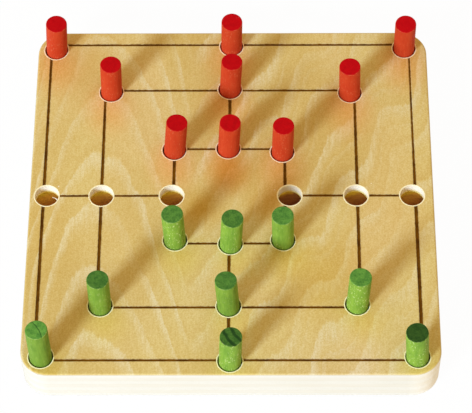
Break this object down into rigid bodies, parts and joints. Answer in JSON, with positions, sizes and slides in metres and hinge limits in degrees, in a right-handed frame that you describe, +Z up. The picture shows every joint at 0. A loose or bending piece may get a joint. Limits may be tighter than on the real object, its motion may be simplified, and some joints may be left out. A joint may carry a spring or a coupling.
{
  "type": "nine mens morris board",
  "caption": "Square plywood board for nine mens morris, with burnt lines, blind peg holes and loose red and green dowel pegs standing in its back and front rows.",
  "frame": {"origin": "middle of the board's flat underside", "axes": "+Z up out of the played face, +Y towards the rows of red pegs at the back, +X to the right as seen from the front"},
  "size_m": [0.15, 0.15, 0.0336],
  "materials": {
    "face_veneer": "lacquered, lines burnt in",
    "cross_veneer": "raw, sanded",
    "long_veneer": "raw, sanded",
    "back_veneer": "raw, sanded",
    "peg_red": "stained, matt",
    "peg_green": "stained, matt"
  },
  "bodies": {
    "board": {"face_ply": "face_veneer", "core_ply_1": "cross_veneer", "core_ply_2": "long_veneer", "core_ply_3": "cross_veneer", "core_ply_4": "long_veneer", "core_ply_5": "cross_veneer", "back_ply": "back_veneer"},
    "red_peg_outer_left": {"red_peg_outer_left": "peg_red"},
    "red_peg_outer_centre": {"red_peg_outer_centre": "peg_red"},
    "red_peg_outer_right": {"red_peg_outer_right": "peg_red"},
    "red_peg_middle_left": {"red_peg_middle_left": "peg_red"},
    "red_peg_middle_centre": {"red_peg_middle_centre": "peg_red"},
    "red_peg_middle_right": {"red_peg_middle_right": "peg_red"},
    "red_peg_inner_left": {"red_peg_inner_left": "peg_red"},
    "red_peg_inner_centre": {"red_peg_inner_centre": "peg_red"},
    "red_peg_inner_right": {"red_peg_inner_right": "peg_red"},
    "green_peg_outer_left": {"green_peg_outer_left": "peg_green"},
    "green_peg_outer_centre": {"green_peg_outer_centre": "peg_green"},
    "green_peg_outer_right": {"green_peg_outer_right": "peg_green"},
    "green_peg_middle_left": {"green_peg_middle_left": "peg_green"},
    "green_peg_middle_centre": {"green_peg_middle_centre": "peg_green"},
    "green_peg_middle_right": {"green_peg_middle_right": "peg_green"},
    "green_peg_inner_left": {"green_peg_inner_left": "peg_green"},
    "green_peg_inner_centre": {"green_peg_inner_centre": "peg_green"},
    "green_peg_inner_right": {"green_peg_inner_right": "peg_green"}
  },
  "joints": [
    {"name": "lift_red_peg_outer_left", "type": "slide", "parent": "board", "child": "red_peg_outer_left", "axis": [0.0614, -0.0154, 0.998], "range_m": [0, 0.03]},
    {"name": "lift_red_peg_outer_centre", "type": "slide", "parent": "board", "child": "red_peg_outer_centre", "axis": [0.0154, -0.0614, 0.998], "range_m": [0, 0.03]},
    {"name": "lift_red_peg_outer_right", "type": "slide", "parent": "board", "child": "red_peg_outer_right", "axis": [-0.0154, -0.0614, 0.998], "range_m": [0, 0.03]},
    {"name": "lift_red_peg_middle_left", "type": "slide", "parent": "board", "child": "red_peg_middle_left", "axis": [0.0307, 0.0307, 0.9991], "range_m": [0, 0.03]},
    {"name": "lift_red_peg_middle_centre", "type": "slide", "parent": "board", "child": "red_peg_middle_centre", "axis": [0.0461, 0.0307, 0.9985], "range_m": [0, 0.03]},
    {"name": "lift_red_peg_middle_right", "type": "slide", "parent": "board", "child": "red_peg_middle_right", "axis": [-0.0308, 0, 0.9995], "range_m": [0, 0.03]},
    {"name": "lift_red_peg_inner_left", "type": "slide", "parent": "board", "child": "red_peg_inner_left", "axis": [0.0767, 0.0307, 0.9966], "range_m": [0, 0.03]},
    {"name": "lift_red_peg_inner_centre", "type": "slide", "parent": "board", "child": "red_peg_inner_centre", "axis": [0.0461, 0, 0.9989], "range_m": [0, 0.03]},
    {"name": "lift_red_peg_inner_right", "type": "slide", "parent": "board", "child": "red_peg_inner_right", "axis": [0.0154, 0.0154, 0.9998], "range_m": [0, 0.03]},
    {"name": "lift_green_peg_outer_left", "type": "slide", "parent": "board", "child": "green_peg_outer_left", "axis": [-0.0153, 0.0767, 0.9969], "range_m": [0, 0.03]},
    {"name": "lift_green_peg_outer_centre", "type": "slide", "parent": "board", "child": "green_peg_outer_centre", "axis": [0.0308, 0.0154, 0.9994], "range_m": [0, 0.03]},
    {"name": "lift_green_peg_outer_right", "type": "slide", "parent": "board", "child": "green_peg_outer_right", "axis": [-0.0614, 0.0154, 0.998], "range_m": [0, 0.03]},
    {"name": "lift_green_peg_middle_left", "type": "slide", "parent": "board", "child": "green_peg_middle_left", "axis": [0, 0.0461, 0.9989], "range_m": [0, 0.03]},
    {"name": "lift_green_peg_middle_centre", "type": "slide", "parent": "board", "child": "green_peg_middle_centre", "axis": [-0.0461, 0.0307, 0.9985], "range_m": [0, 0.03]},
    {"name": "lift_green_peg_middle_right", "type": "slide", "parent": "board", "child": "green_peg_middle_right", "axis": [0.0307, 0.0614, 0.9976], "range_m": [0, 0.03]},
    {"name": "lift_green_peg_inner_left", "type": "slide", "parent": "board", "child": "green_peg_inner_left", "axis": [-0.0307, 0.0307, 0.9991], "range_m": [0, 0.03]},
    {"name": "lift_green_peg_inner_centre", "type": "slide", "parent": "board", "child": "green_peg_inner_centre", "axis": [0.0461, 0.0154, 0.9988], "range_m": [0, 0.03]},
    {"name": "lift_green_peg_inner_right", "type": "slide", "parent": "board", "child": "green_peg_inner_right", "axis": [-0.0154, 0, 0.9999], "range_m": [0, 0.03]}
  ]
}
